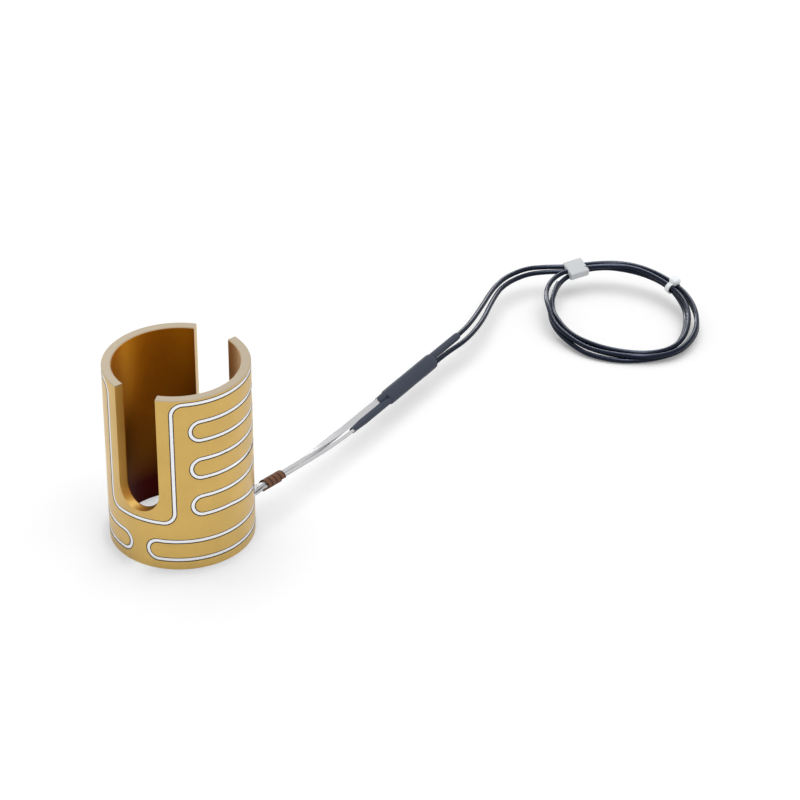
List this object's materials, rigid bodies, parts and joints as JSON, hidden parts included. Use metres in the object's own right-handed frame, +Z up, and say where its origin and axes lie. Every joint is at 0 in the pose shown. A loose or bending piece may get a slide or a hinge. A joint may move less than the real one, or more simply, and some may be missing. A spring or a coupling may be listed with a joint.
{
  "type": "hot runner nozzle heater",
  "caption": "Slotted brass heater sleeve with a flat element pressed into milled grooves, bound cold legs and coiled leads.",
  "frame": {"origin": "bottom of the bore, on its axis", "axes": "+Z up along the bore; -Y towards the front slot; +X towards the side where the legs leave; legs and leads run towards +Y"},
  "size_m": [0.144, 0.3011, 0.081],
  "materials": {
    "brass_sleeve": "satin, fine blasted",
    "element_steel": "bright drawn sheath",
    "brown_wrap": "matte high-temperature tape",
    "heat_shrink": "matte",
    "white_seal": "matte ceramic",
    "nickel": "bright",
    "tinned_copper": "tinned",
    "lead_insulation": "glossy",
    "grey_tag": "smooth",
    "white_tie": "smooth"
  },
  "bodies": {
    "root": {"sleeve": "brass_sleeve", "heating_element": "element_steel", "binding_wrap": "brown_wrap", "joint_sleeve_upper": "heat_shrink", "joint_sleeve_lower": "heat_shrink", "outer_sleeve": "heat_shrink", "end_seal_upper": "white_seal", "end_seal_lower": "white_seal", "terminal_pin_upper": "nickel", "terminal_pin_lower": "nickel", "crimp_upper": "tinned_copper", "crimp_lower": "tinned_copper", "conductor_upper": "tinned_copper", "conductor_lower": "tinned_copper", "lead_upper": "lead_insulation", "lead_lower": "lead_insulation", "lead_coil": "lead_insulation", "tag": "grey_tag", "cable_tie": "white_tie"}
  },
  "joints": []
}
